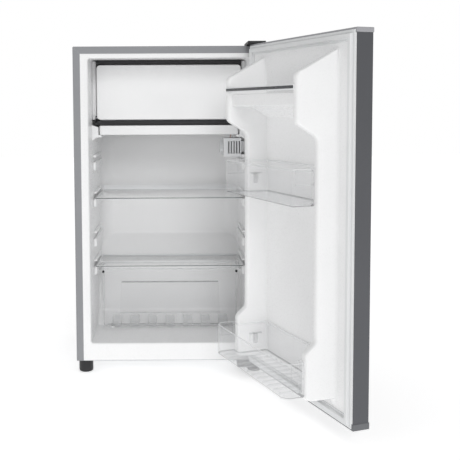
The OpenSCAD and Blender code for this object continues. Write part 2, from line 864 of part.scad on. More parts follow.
deck_t = 2;
comp_x = 50;
comp_y = 312;
comp_r = compressor_w / 2;
comp_straight = compressor_l - compressor_w;
comp_base = 17;
comp_seam = 92;
comp_bolts = [for (x = [-94, 94], y = [-38, 38]) [comp_x + x, comp_y + y]];
gland_x = -120;
gland_z = 16;

module compressor_deck() {
    color([0.60, 0.61, 0.62]) in_cabinet() difference() {
        union() {
            block([-half_w + skin, room_y + 1, 0], [half_w - skin, body_d, deck_t]);
            block([-half_w + skin, body_d - 2, deck_t], [half_w - skin, body_d, 30]);
        }
        for (p = comp_bolts) rod_z(p[0], p[1], -1, 5, 3);
        rod_y(body_d - 5, body_d + 5, gland_x, gland_z, 7);
    }
}

module cord_gland() {
    color([0.08, 0.08, 0.09]) in_cabinet() difference() {
        union() {
            rod_y(body_d - 2, body_d, gland_x, gland_z, 7);
            rod_y(body_d, body_d + 4, gland_x, gland_z, 10);
            rod_y(body_d - 5, body_d - 2, gland_x, gland_z, 10);
        }
        rod_y(body_d - 6, body_d + 6, gland_x, gland_z, 3.6);
    }
}

// A shell of revolution stretched along X by a straight middle
module stretched_shell(outline) {
    translate([comp_x, comp_y, 0]) {
        for (side = [0, 1]) mirror([side, 0, 0])
            translate([comp_straight / 2, 0, 0])
                rotate([0, 0, -90]) rotate_extrude(angle = 180) polygon(outline);
        along_x(-comp_straight / 2, comp_straight / 2,
            concat(outline, [for (i = [len(outline) - 1:-1:0]) [-outline[i][0], outline[i][1]]]));
    }
}

// A quarter-oval from the shell's side to its crown, in steps
function dome(r, z0, z1) = [for (i = [0:7]) let (a = 90 * i / 7) [r * cos(a), z0 + (z1 - z0) * sin(a)]];

module compressor_lower_shell() {
    color([0.10, 0.10, 0.11]) in_cabinet()
        stretched_shell([[0, comp_base], [30, comp_base], [46, 25], [54, 38], [comp_r, 58],
            [comp_r, comp_seam - 5], [comp_r + 2, comp_seam - 5], [comp_r + 2, comp_seam],
            [0, comp_seam]]);
}

module compressor_upper_shell() {
    color([0.10, 0.10, 0.11]) in_cabinet()
        stretched_shell(concat([[0, comp_seam], [comp_r, comp_seam]],
            dome(comp_r, comp_seam + 26, room_z - 14)));
}

module compressor_legs() {
    color([0.14, 0.14, 0.15]) in_cabinet() difference() {
        block([comp_x - 106, comp_y - 48, comp_base - 3], [comp_x + 106, comp_y + 48, comp_base]);
        for (p = comp_bolts) rod_z(p[0], p[1], 0, 30, 5);
    }
}

module compressor_grommets() {
    color([0.16, 0.16, 0.16]) in_cabinet() for (p = comp_bolts) difference() {
        union() {
            rod_z(p[0], p[1], deck_t, comp_base - 3, 9);
            rod_z(p[0], p[1], comp_base - 3, comp_base, 5);
            rod_z(p[0], p[1], comp_base, comp_base + 4, 8);
        }
        rod_z(p[0], p[1], 0, 30, 3);
    }
}

module compressor_bolts() {
    color([0.75, 0.75, 0.77]) in_cabinet() for (p = comp_bolts) {
        rod_z(p[0], p[1], 0, comp_base + 4, 3);
        translate([p[0], p[1], comp_base + 4]) cylinder(r = 5.8, h = 5, $fn = 6);
        translate([p[0], p[1], -3]) cylinder(r = 5.8, h = 3, $fn = 6);
    }
}

module relay_cover() {
    x = comp_x + comp_straight / 2;
    color([0.12, 0.12, 0.12]) in_cabinet() difference() {
        block([x + comp_r - 12, comp_y - 26, 98], [x + comp_r + 22, comp_y + 26, 114]);
        rod_z(x, comp_y, 60, 130, comp_r);
    }
}

// Condenser: a serpentine from its top left end down to its bottom left end
condenser_pitch = 46;
condenser_low = 218;
condenser_half = 180;
bend_steps = 6;
function pass_z(i) = condenser_low + condenser_pitch * (passes - 1 - i);
function bend(side, z) = [for (k = [1:bend_steps - 1]) let (a = 180 * k / bend_steps)
    [side * (condenser_half + condenser_pitch / 2 * sin(a)), condenser_y,
        z - condenser_pitch / 2 * (1 - cos(a))]];
condenser_route = [for (i = [0:passes - 1])
    let (side = i % 2 == 0 ? -1 : 1)
    for (p = concat([[side * condenser_half, condenser_y, pass_z(i)]],
        [[-side * condenser_half, condenser_y, pass_z(i)]],
        i == passes - 1 ? [] : bend(-side, pass_z(i)))) p];

module condenser_tube() {
    color([0.08, 0.08, 0.09]) in_cabinet() swept_tube(condenser_route, condenser_tube_d / 2, 8);
}

module condenser_wires() {
    r = 0.75;
    spread = 2 * (condenser_half - 12) / (wire_count - 1);
    off = condenser_tube_d / 2 + r;
    color([0.09, 0.09, 0.10]) in_cabinet()
        for (i = [0:wire_count - 1], side = [-1, 1])
            translate([-condenser_half + 12 + spread * i, condenser_y + side * off,
                condenser_low - 14])
                cylinder(r = r, h = pass_z(0) - condenser_low + 28, $fn = 14);
}

module condenser_brackets() {
    reach = condenser_y - condenser_tube_d / 2;
    color([0.12, 0.12, 0.12]) in_cabinet()
        for (x = [-175, 175], z = [condenser_low + condenser_pitch, pass_z(2)])
            block([x - 5, body_d, z - 12], [x + 5, reach, z + 12]);
}

riser_x = 216;
entry_z = 662;
entry_x = 150;
entry_r = 8;

// The hole that the refrigerant tubes pass through, into the ice box
module tube_entry() {
    rod_y(rear_y - 5, body_d + 1, entry_x, entry_z, entry_r);
}

module discharge_tube() {
    x0 = comp_x - comp_straight / 2 - comp_r;
    route = [[x0 + 2, comp_y, 72], [x0 - 26, comp_y, 72], [x0 - 26, condenser_y, 72],
        [-riser_x, condenser_y, 72], [-riser_x, condenser_y, pass_z(0)],
        [-condenser_half, condenser_y, pass_z(0)]];
    color([0.10, 0.10, 0.11]) in_cabinet() swept_tube(eased(route, 12), condenser_tube_d / 2, 8);
}

module filter_drier() {
    x = -condenser_half - 16;
    low = 96;
    color([0.72, 0.45, 0.30]) in_cabinet() {
        translate([x, condenser_y, low]) rotate_extrude() polygon([[0, 0], [1.4, 0], [2.4, 8],
            [7.5, 16], [7.5, 66], [2.4, 76], [2.4, 84], [0, 84]]);
        swept_tube(eased([[x, condenser_y, low + 84], [x, condenser_y, condenser_low],
            [-condenser_half, condenser_y, condenser_low]], 10), condenser_tube_d / 2, 8);
    }
}

module capillary_tube() {
    x = -condenser_half - 16;
    y = body_d + 5;
    outer_x = riser_x + 9;
    route = [[x, condenser_y, 96], [x, condenser_y, 88], [x, y, 74], [x, y, 50], [x + 20, y + 2, 44],
        [outer_x, y + 2, 44], [outer_x, y, 90], [outer_x, y, entry_z + 5.4],
        [entry_x, y, entry_z + 5.4], [entry_x, frame_y + ice_d, entry_z + 5.4]];
    color([0.72, 0.45, 0.30]) in_cabinet() swept_tube(eased(route, 6), 1.2, 8);
}

module suction_tube() {
    x0 = comp_x + comp_straight / 2 + comp_r;
    y = body_d + 5;
    route = [[x0 - 2, comp_y, 72], [x0 + 20, comp_y, 72], [x0 + 20, y, 72], [riser_x, y, 72],
        [riser_x, y, entry_z], [entry_x, y, entry_z], [entry_x, frame_y + ice_d, entry_z]];
    color([0.72, 0.45, 0.30]) in_cabinet() swept_tube(eased(route, 10), 3.4, 8);
}

outer_wrap();
cabinet_liner();
cabinet_foam();
back_panel();
bottom_panel();
machine_room_panel();
front_rail();
evaporator();
evaporator_spacers();
ice_box_frame();
flap_pins();
thermostat_housing();
thermostat_control();
sensor_tube();
top_hinge_plate();
top_hinge_cover();
top_hinge_screws();
lower_hinge_bracket();
lower_hinge_screws();
hinge_hole_plugs();
compressor_deck();
compressor_lower_shell();
compressor_upper_shell();
compressor_legs();
compressor_grommets();
compressor_bolts();
relay_cover();
discharge_tube();
suction_tube();
capillary_tube();
filter_drier();
condenser_tube();
condenser_wires();
condenser_brackets();
rear_feet();
cord_gland();
door_outer_panel();
door_top_cap();
door_bottom_cap();
door_foam();
door_liner();
door_gasket();
gasket_magnets();
door_bushes();
door_retaining_bar();
balcony_mid();
balcony_bottom();
ice_box_flap();
flap_insulation();
drip_tray();
upper_shelf_glass();
upper_shelf_trim();
crisper_cover_glass();
crisper_cover_trim();
crisper_drawer();
crisper_buffers();
thermostat_knob();
front_foot_left();
front_foot_right();
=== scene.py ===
"""Looks of a compact refrigerator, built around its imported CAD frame.

Lengths are millimetres in cabinet coordinates: X from the cabinet's middle, Y back from
its front plane and Z up from its bottom edge. Door pieces are drawn with the door closed.
Two placing functions turn such a point into the frame's metres.
"""
import json
import math

import bmesh
import bpy
from mathutils import Matrix, Vector

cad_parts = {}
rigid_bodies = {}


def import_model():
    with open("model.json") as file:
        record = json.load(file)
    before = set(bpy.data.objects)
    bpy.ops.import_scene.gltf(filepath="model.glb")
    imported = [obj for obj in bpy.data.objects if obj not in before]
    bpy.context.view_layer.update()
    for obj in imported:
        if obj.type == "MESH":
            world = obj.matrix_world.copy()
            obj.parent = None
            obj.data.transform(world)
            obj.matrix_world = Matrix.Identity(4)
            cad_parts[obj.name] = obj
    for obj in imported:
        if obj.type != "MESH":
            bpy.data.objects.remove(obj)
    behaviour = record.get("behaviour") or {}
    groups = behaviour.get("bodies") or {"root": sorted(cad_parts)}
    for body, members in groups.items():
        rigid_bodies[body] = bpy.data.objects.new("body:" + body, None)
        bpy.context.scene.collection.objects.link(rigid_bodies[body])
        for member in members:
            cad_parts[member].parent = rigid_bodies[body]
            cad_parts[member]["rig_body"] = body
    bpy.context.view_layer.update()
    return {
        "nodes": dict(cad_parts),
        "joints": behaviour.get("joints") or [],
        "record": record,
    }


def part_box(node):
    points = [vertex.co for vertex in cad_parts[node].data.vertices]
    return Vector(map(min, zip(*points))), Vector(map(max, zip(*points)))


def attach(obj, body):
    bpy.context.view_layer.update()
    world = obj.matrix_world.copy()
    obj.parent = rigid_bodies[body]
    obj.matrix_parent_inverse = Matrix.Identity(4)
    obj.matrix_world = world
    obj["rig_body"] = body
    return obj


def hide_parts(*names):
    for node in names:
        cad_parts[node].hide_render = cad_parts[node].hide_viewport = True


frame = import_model()

MM = 0.001

# ---------- places and driving sizes ----------

wrap_low, wrap_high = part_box("outer_wrap")
CABINET_ORIGIN = Vector(((wrap_low.x + wrap_high.x) / 2, wrap_low.y, wrap_low.z))
HALF = (wrap_high.x - wrap_low.x) / 2 / MM
BODY_H = (wrap_high.z - wrap_low.z) / MM
BODY_D = (wrap_high.y - wrap_low.y) / MM
hinge_joint = next(j for j in frame["joints"] if j["name"] == "door_hinge")
HINGE = Vector(hinge_joint["pos_m"])
DOOR_OPEN = math.radians(110)

# The steel flange round the front, and the liner's cavity behind it
FLANGE = 18
LINER_HALF = 200
LINER_DRAFT = 0.02
FLOOR_Z = 44
GLIDE_H = 4
CEILING_Z = 760
REAR_Y = 345
REAR_R = 40
# The step over the compressor: its front and top, and where its top meets the rear wall
STEP_Y = 212
STEP_Z = 215
STEP_BACK_Y = 258
STEP_BACK_Z = 271.8
STEP_CHAMFER = 34
# Shelf runners, shelf glass and the cheeks beside the ice box
SHELF_LEVELS = (225, 300, 404, 500)
LEDGE_X = 190.5
GLASS_T = 4
CHEEK_X = 187.8
# The door: its gap from the cabinet, its caps, its inner ribs and the lugs of its balconies
DOOR_GAP = 10
DOOR_T = 38
DOOR_H = 789
TOP_CAP_H = 10
BOTTOM_CAP_H = 14
RIB_OUT = 175
RIB_IN = 151
PAN_DEPTH = 4
MID_BALCONY_Z = 440
LOW_BALCONY_Z = 57
LUG_RISE = 26
LUG_H = 16


def in_cabinet(point):
    """The frame's place for a point given in cabinet millimetres."""
    return CABINET_ORIGIN + Vector(point) * MM


def in_door(point):
    """The frame's place for a door point given with the door closed."""
    turned = Matrix.Rotation(DOOR_OPEN, 3, "Z") @ (in_cabinet(point) - HINGE)
    return turned + HINGE


def box_of(node):
    """A cabinet node's corners in cabinet millimetres."""
    low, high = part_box(node)
    return (low - CABINET_ORIGIN) / MM, (high - CABINET_ORIGIN) / MM


# ---------- materials ----------

def new_material(name):
    material = bpy.data.materials.new(name)
    material.use_nodes = True
    nodes = material.node_tree.nodes
    return material, nodes, material.node_tree.links, nodes["Principled BSDF"]


def noise(nodes, links, scale, stretch=(1, 1, 1)):
    """Procedural noise on the piece's own coordinates."""
    where = nodes.new("ShaderNodeTexCoord")
    mapping = nodes.new("ShaderNodeMapping")
    mapping.inputs["Scale"].default_value = stretch
    texture = nodes.new("ShaderNodeTexNoise")
    texture.inputs["Scale"].default_value = scale
    texture.inputs["Detail"].default_value = 2
    links.new(where.outputs["Object"], mapping.inputs["Vector"])
    links.new(mapping.outputs["Vector"], texture.inputs["Vector"])
    return texture.outputs["Fac"]


def ramp(nodes, links, fac, low, high, start=0.3, end=0.7):
    """A blend from low to high as fac goes from start to end."""
    node = nodes.new("ShaderNodeValToRGB")
    node.color_ramp.elements[0].position = start
    node.color_ramp.elements[0].color = low
    node.color_ramp.elements[1].position = end
    node.color_ramp.elements[1].color = high
    links.new(fac, node.inputs["Fac"])
    return node.outputs["Color"]


def add_bump(nodes, links, height, shader, strength, distance):
    node = nodes.new("ShaderNodeBump")
    node.inputs["Strength"].default_value = strength
    node.inputs["Distance"].default_value = distance
    links.new(height, node.inputs["Height"])
    links.new(node.outputs["Normal"], shader.inputs["Normal"])


def solid(name, color, rough, metal=0.0, grain=900, bump=0.02, depth=0.0002, spread=0.015,
          rough_spread=0.06, coat=0.0, stretch=(1, 1, 1), specular=0.5):
    """A moulded or painted surface: slight colour and gloss variation, and a fine grain."""
    material, nodes, links, shader = new_material(name)
    shader.inputs["Metallic"].default_value = metal
    shader.inputs["Specular IOR Level"].default_value = specular
    shader.inputs["Coat Weight"].default_value = coat
    shader.inputs["Coat Roughness"].default_value = 0.12
    cloudy = noise(nodes, links, 9)
    dark = [max(0, c * (1 - spread)) for c in color] + [1]
    light = [min(1, c * (1 + spread)) for c in color] + [1]
    links.new(ramp(nodes, links, cloudy, dark, light), shader.inputs["Base Color"])
    fine = noise(nodes, links, grain, stretch)
    lows = [max(0.02, rough - rough_spread)] * 3 + [1]
    highs = [min(1, rough + rough_spread)] * 3 + [1]
    links.new(ramp(nodes, links, fine, lows, highs), shader.inputs["Roughness"])
    add_bump(nodes, links, fine, shader, bump, depth)
    return material


def clear(name, color, rough, face_alpha, edge_alpha):
    """Thin clear plastic or glass: nearly open face on, and denser where it turns away."""
    material, nodes, links, shader = new_material(name)
    shader.inputs["IOR"].default_value = 1.5
    shader.inputs["Coat Weight"].default_value = 0.5
    shader.inputs["Coat Roughness"].default_value = 0.03
    flow = noise(nodes, links, 40)
    lows = [c * 0.97 for c in color] + [1]
    links.new(ramp(nodes, links, flow, lows, list(color) + [1]), shader.inputs["Base Color"])
    links.new(ramp(nodes, links, flow, [rough * 0.7] * 3 + [1], [rough * 1.3] * 3 + [1]),
              shader.inputs["Roughness"])
    weight = nodes.new("ShaderNodeLayerWeight")
    weight.inputs["Blend"].default_value = 0.5
    density = ramp(nodes, links, weight.outputs["Facing"], [face_alpha] * 3 + [1],
                   [edge_alpha] * 3 + [1], 0.45, 0.97)
    links.new(density, shader.inputs["Alpha"])
    add_bump(nodes, links, flow, shader, 0.02, 0.0005)
    return material


BRUSHED_UP = (1, 1, 60)
ROLLED_ALONG = (1, 14, 1)
SOLIDS = {
    "liner_white": dict(color=(0.945, 0.947, 0.95), rough=0.30, grain=500, bump=0.03),
    "flap_white": dict(color=(0.94, 0.942, 0.945), rough=0.22, grain=400, bump=0.02),
    "white_plastic": dict(color=(0.86, 0.87, 0.88), rough=0.34),
    "grey_plastic": dict(color=(0.45, 0.46, 0.47), rough=0.45),
    "cap_grey": dict(color=(0.38, 0.38, 0.40), rough=0.5, grain=1200, bump=0.08),
    "cap_dark": dict(color=(0.15, 0.155, 0.165), rough=0.42, grain=1200, bump=0.08),
    "black_plastic": dict(color=(0.012, 0.012, 0.014), rough=0.38, grain=1400, bump=0.10),
    "smoked_plastic": dict(color=(0.05, 0.052, 0.058), rough=0.25),
    "wrap_steel": dict(color=(0.295, 0.30, 0.315), rough=0.5, metal=0.1, grain=700, bump=0.05),
    "door_steel": dict(color=(0.125, 0.128, 0.138), rough=0.46, metal=0.7, grain=260, bump=0.04,
                       stretch=BRUSHED_UP, rough_spread=0.10),
    "galvanised_sheet": dict(color=(0.50, 0.51, 0.52), rough=0.42, metal=0.7, grain=70,
                             bump=0.03, spread=0.08),
    "hinge_steel": dict(color=(0.05, 0.05, 0.055), rough=0.4, metal=0.4),
    "screw_steel": dict(color=(0.55, 0.55, 0.57), rough=0.28, metal=1.0),
    "black_enamel": dict(color=(0.015, 0.015, 0.017), rough=0.25, grain=300, bump=0.04,
                         coat=0.4),
    "evaporator_aluminium": dict(color=(0.72, 0.73, 0.75), rough=0.38, metal=0.9, grain=300,
                                 bump=0.04, stretch=ROLLED_ALONG),
    "copper": dict(color=(0.60, 0.28, 0.16), rough=0.32, metal=1.0, spread=0.12),
    "gasket_vinyl": dict(color=(0.80, 0.81, 0.815), rough=0.5, grain=1500, bump=0.05),
    "magnet_strip": dict(color=(0.02, 0.017, 0.015), rough=0.6),
    "black_rubber": dict(color=(0.006, 0.006, 0.007), rough=0.85, grain=1600, bump=0.12,
                         specular=0.12),
    "foam": dict(color=(0.80, 0.72, 0.46), rough=0.9, grain=260, bump=0.5, depth=0.001),
    # Painted shade: the dark green given to glass edges, partly the glass's own tint.
    "glass_edge_painted_shade": dict(color=(0.045, 0.065, 0.062), rough=0.12, coat=0.6),
}
CLEARS = {
    "clear_plastic": dict(color=(0.84, 0.85, 0.865), rough=0.06, face_alpha=0.08, edge_alpha=0.72),
    # Painted highlight: a pale, dense clear for the bright lines on rims and pull ends.
    "clear_rim_painted_highlight": dict(color=(0.90, 0.91, 0.92), rough=0.08, face_alpha=0.7, edge_alpha=0.95),
    # Painted highlight: a pale, denser clear that makes the floor flutes show as bright glints.
    "clear_fluted_painted_glint": dict(color=(0.92, 0.93, 0.94), rough=0.08, face_alpha=0.34, edge_alpha=0.9),
    # Painted shade: a dark clear for the dark lines round the bottoms and along the pull's edges.
    "clear_line_painted_shade": dict(color=(0.14, 0.145, 0.15), rough=0.08, face_alpha=0.5, edge_alpha=0.85),
    "shelf_glass": dict(color=(0.90, 0.94, 0.93), rough=0.03, face_alpha=0.02, edge_alpha=0.06),
}
MATERIALS = {name: solid(name, **look) for name, look in SOLIDS.items()}
MATERIALS.update({name: clear(name, **look) for name, look in CLEARS.items()})


# ---------- mesh helpers ----------

def quarter(steps=4):
    """Sines and cosines of even steps through a right angle."""
    turns = [math.pi / 2 * k / steps for k in range(steps + 1)]
    return [(math.sin(turn), math.cos(turn)) for turn in turns]


def rounded(points, radii, steps=5, closed=True):
    """A 2-D outline with its corners turned into arcs."""
    result = []
    count = len(points)
    for i, point in enumerate(points):
        radius = radii[i] if isinstance(radii, (list, tuple)) else radii
        here = Vector(point)
        if radius <= 0 or (not closed and i in (0, count - 1)):
            result.append(here)
            continue
        back = Vector(points[i - 1]) - here
        ahead = Vector(points[(i + 1) % count]) - here
        reach = 0.49 * min(back.length, ahead.length)
        back.normalize()
        ahead.normalize()
        corner = back.angle(ahead)
        if corner > math.radians(179):
            result.append(here)
            continue
        tangent = min(radius / math.tan(corner / 2), reach)
        radius = tangent * math.tan(corner / 2)
        centre = here + (back + ahead).normalized() * (radius / math.sin(corner / 2))
        first = here + back * tangent - centre
        last = here + ahead * tangent - centre
        sweep = first.angle_signed(last)
        for k in range(steps + 1):
            turn = Matrix.Rotation(-sweep * k / steps, 2)
            result.append(centre + turn @ first)
    return result


def offset(points, distance):
    """A closed 2-D outline, counter-clockwise, moved inwards by distance."""
    result = []
    for i, point in enumerate(points):
        before = (Vector(point) - Vector(points[i - 1])).normalized()
        after = (Vector(points[(i + 1) % len(points)]) - Vector(point)).normalized()
        normal_a = Vector((-before.y, before.x))
        normal_b = Vector((-after.y, after.x))
        mid = normal_a + normal_b
        if mid.length < 1e-6:
            mid = normal_a
        mid = mid.normalized()
        scale = 1 / max(0.25, mid.dot(normal_a))
        result.append(Vector(point) + mid * distance * scale)
    return result


def lofted(bm, rings, closed=True, cap_first=False, cap_last=False):
    """Faces between rings that have the same number of points."""
    rows = [[bm.verts.new(p) for p in ring] for ring in rings]
    for low, high in zip(rows, rows[1:]):
        for i in range(len(low) - (0 if closed else 1)):
            j = (i + 1) % len(low)
            bm.faces.new((low[i], low[j], high[j], high[i]))
    if cap_first:
        bm.faces.new(list(reversed(rows[0])))
    if cap_last:
        bm.faces.new(rows[-1])
    return rows


def add_box(bm, low, high, bevel, segments=2):
    """A box with rounded edges, added to a mesh."""
    part = bmesh.new()
    bmesh.ops.create_cube(part, size=1)
    for vert in part.verts:
        for axis in range(3):
            vert.co[axis] = low[axis] if vert.co[axis] < 0 else high[axis]
    merge_part(bm, part, bevel, segments)


def add_side_box(bm, side, xs, ys, zs, bevel, segments=2):
    """A box on one side of the middle plane, with xs measured from that plane."""
    x0, x1 = sorted(side * x for x in xs)
    add_box(bm, (x0, ys[0], zs[0]), (x1, ys[1], zs[1]), bevel, segments)


def merge_part(bm, part, bevel=0.0, segments=2, angle=25):
    """Bevels a mesh's sharp edges and adds it to another mesh."""
    if bevel:
        round_edges(part, bevel, segments, angle)
    scratch = bpy.data.meshes.new("scratch")
    part.to_mesh(scratch)
    part.free()
    bm.from_mesh(scratch)
    bpy.data.meshes.remove(scratch)


def round_edges(bm, bevel, segments, angle=25, only=None):
    """Rounds the edges that turn by more than an angle, or those of them that a test picks."""
    limit = math.radians(angle)
    edges = [e for e in bm.edges if len(e.link_faces) == 2
             and e.calc_face_angle(0) > limit and (only is None or only(e))]
    if edges:
        bmesh.ops.bevel(bm, geom=edges, offset=bevel, offset_type="OFFSET", segments=segments,
                        profile=0.5, affect="EDGES", clamp_overlap=True)


def add_prism(bm, outline, axis, start, end, bevel=0.0, segments=2):
    """An outline drawn along an axis: 'x' takes (y, z) points and 'y' takes (x, z)."""
    ends = []
    for t in (start, end):
        ends.append([(t, a, b) if axis == "x" else (a, t, b) for a, b in outline])
    part = bmesh.new()
    lofted(part, ends, cap_first=True, cap_last=True)
    bmesh.ops.recalc_face_normals(part, faces=part.faces)
    merge_part(bm, part, bevel, segments, 35)


def add_tube(bm, points, radius, sides):
    """A round tube along points whose first stretch is level."""
    points = [Vector(p) for p in points]
    rings = []
    normal = None
    for i, point in enumerate(points):
        ahead = (points[min(i + 1, len(points) - 1)] - points[max(i - 1, 0)]).normalized()
        if normal is None:
            normal = Vector((0, 0, 1))
        normal = (normal - ahead * normal.dot(ahead)).normalized()
        side = ahead.cross(normal)
        rings.append([point + radius * (math.cos(2 * math.pi * k / sides) * normal
                                        + math.sin(2 * math.pi * k / sides) * side)
                      for k in range(sides)])
    part = bmesh.new()
    lofted(part, rings, cap_first=True, cap_last=True)
    bmesh.ops.recalc_face_normals(part, faces=part.faces)
    merge_part(bm, part)


def finish_piece(name, bm, body, slot, replaces=(), place=None, smooth=35, extra=(), fix=True):
    """Places a mesh, shades it, gives it its materials, hangs it on its body and hides the CAD
    parts it replaces.
    """
    if place:
        for vert in bm.verts:
            vert.co = place(vert.co)
    if fix:
        bmesh.ops.recalc_face_normals(bm, faces=bm.faces)
    mesh = bpy.data.meshes.new(name)
    bm.to_mesh(mesh)
    bm.free()
    mesh.shade_smooth()
    mesh.set_sharp_from_angle(angle=math.radians(smooth))
    for slot_name in (slot, *extra):
        mesh.materials.append(MATERIALS[slot_name])
    piece = bpy.data.objects.new(name, mesh)
    bpy.context.scene.collection.objects.link(piece)
    weighted = piece.modifiers.new("flat faces stay flat", "WEIGHTED_NORMAL")
    weighted.keep_sharp = True
    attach(piece, body)
    if replaces:
        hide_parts(*replaces)
    return piece


def body_of(node):
    """The body that a CAD node belongs to."""
    return frame["nodes"][node]["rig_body"]


def slot_of(node):
    """The material slot that the record gives a CAD node."""
    return next(s["material_slot"] for s in frame["record"]["subparts"] if s["node"] == node)


def refined(node, bevel, smooth=35):
    """A finished copy of a CAD node, with its flat faces joined and its edges rounded."""
    bm = bmesh.new()
    bm.from_mesh(frame["nodes"][node].data)
    bmesh.ops.remove_doubles(bm, verts=bm.verts, dist=1e-5)
    bmesh.ops.dissolve_limit(bm, angle_limit=math.radians(0.5), verts=bm.verts, edges=bm.edges)
    if bevel:
        round_edges(bm, bevel * MM, 2, 28)
    finish_piece(node + "_finished", bm, body_of(node), slot_of(node), (node,), smooth=smooth)


# ---------- cabinet ----------

def make_liner():
    """The moulded inner liner: a cavity with soft corners, a rolled front lip and its runners."""
    soft = 11
    step_soft = 5
    profile = [(0, FLOOR_Z), (STEP_Y - STEP_CHAMFER, FLOOR_Z), (STEP_Y, FLOOR_Z + STEP_CHAMFER),
               (STEP_Y, STEP_Z), (STEP_BACK_Y, STEP_Z), (REAR_Y, STEP_BACK_Z),
               (REAR_Y, CEILING_Z), (0, CEILING_Z)]
    bm = bmesh.new()
    lofted(bm, [[(x, y, z) for y, z in profile] for x in (-LINER_HALF, LINER_HALF)],
           cap_first=True, cap_last=True)
    bmesh.ops.recalc_face_normals(bm, faces=bm.faces)

    def at_rear(edge):
        tall = abs(edge.verts[0].co.z - edge.verts[1].co.z) > 100
        return tall and all(v.co.y > REAR_Y - 0.1 for v in edge.verts)

    def on_step(edge):
        return all(abs(v.co.y - STEP_Y) + abs(v.co.z - STEP_Z) < 0.2 for v in edge.verts)

    def behind_front(edge):
        return any(v.co.y > 1 for v in edge.verts)

    round_edges(bm, REAR_R, 10, only=at_rear)
    round_edges(bm, step_soft, 4, only=on_step)
    round_edges(bm, soft, 6, angle=30, only=behind_front)
    front = [f for f in bm.faces if all(v.co.y < 0.5 for v in f.verts)]
    bmesh.ops.delete(bm, geom=front, context="FACES_ONLY")
    for vert in bm.verts:
        vert.co.x *= 1 - LINER_DRAFT * vert.co.y / REAR_Y
    roll_lip(bm, soft)
    for face in bm.faces:
        face.normal_flip()
    cheek_y = (107, 308)
    cheek_z = (606, CEILING_Z - 2)
    glide_x = (150, 160)
    glide_y = (152, STEP_Y - STEP_CHAMFER - 4)
    glide_z = (FLOOR_Z - 1, FLOOR_Z + GLIDE_H)
    for side in (-1, 1):
        for level in SHELF_LEVELS:
            add_runner(bm, side, level)
        add_tray_rail(bm, side)
        add_side_box(bm, side, (LINER_HALF - 1, CHEEK_X), cheek_y, cheek_z, 2.5, 3)
        add_side_box(bm, side, glide_x, glide_y, glide_z, 1.5, 3)
    finish_piece("cabinet_liner_moulded", bm, "cabinet", "liner_white", ("cabinet_liner",),
                 in_cabinet, smooth=50, fix=False)


def roll_lip(bm, soft):
    """Grows the cavity's open rim forwards and round into a lip, then out to the steel skin."""
    lip = 5
    steps = 5
    tucked_y = 3
    edge_low = 1.5
    edge_high = BODY_H - FLANGE
    edge_x = HALF - FLANGE
    into_corner = math.radians(7.6)
    low = Vector((-LINER_HALF + soft, FLOOR_Z + soft))
    high = Vector((LINER_HALF - soft, CEILING_Z - soft))

    def outwards(co):
        inner = Vector((min(max(co.x, low.x), high.x), min(max(co.z, low.y), high.y)))
        return inner, (Vector((co.x, co.z)) - inner).normalized()

    def to_edge(inner, way):
        reach = []
        if abs(way.x) > 1e-6:
            reach.append((edge_x - abs(inner.x)) / abs(way.x))
        if way.y > 1e-6:
            reach.append((edge_high - inner.y) / way.y)
        if way.y < -1e-6:
            reach.append((inner.y - edge_low) / -way.y)
        return min(reach)

    rim = [e for e in bm.edges if len(e.link_faces) == 1]
    for edge in rim:
        for vert in edge.verts:
            vert.co.y = lip
    for k in range(1, steps + 3):
        grown = bmesh.ops.extrude_edge_only(bm, edges=rim)["geom"]
        rim = [g for g in grown if isinstance(g, bmesh.types.BMEdge)]
        for vert in [g for g in grown if isinstance(g, bmesh.types.BMVert)]:
            if k == steps + 2:
                vert.co.y = tucked_y
                continue
            inner, way = outwards(vert.co)
            if k <= steps:
                turn = math.pi / 2 * k / steps
                reach = soft + lip * (1 - math.cos(turn))
                depth = lip * (1 - math.sin(turn))
            else:
                reach = to_edge(inner, way)
                depth = 0
            flat = inner + way * reach
            at_top = inner.y > BODY_H / 2
            corner = Vector((math.copysign(edge_x, inner.x), edge_high if at_top else edge_low))
            if k > steps and way.angle(corner - inner) < into_corner:
                flat = corner
            vert.co = (flat.x, depth, flat.y)


def add_runner(bm, side, level):
    """A shelf ledge with a soft front end, and the guide over it."""
    xs = (LINER_HALF - 1, LEDGE_X)
    add_side_box(bm, side, xs, (99, 299), (level - 26, level - GLASS_T), 3.4, 3)
    add_side_box(bm, side, xs, (109, 259), (level + 8, level + 14), 2.4, 3)


def add_tray_rail(bm, side):
    """The channel that carries the drip tray."""
    tray_low, tray_high = box_of("drip_tray")
    z0, z1 = tray_low.z, tray_high.z
    edge = abs(tray_low.x)
    in_wall = LINER_HALF + 0.5
    outline = [(in_wall, z0 - 16), (edge + 8, z0 - 6), (edge - 6, z0 - 6), (edge - 6, z0),
               (edge + 2, z0), (edge + 2, z1 - 4), (in_wall, z1 + 2)]
    soft = rounded(outline, [0, 4, 2.5, 2.5, 1, 3, 0], 3)
    add_prism(bm, [(side * x, z) for x, z in soft], "y", 95, 285)


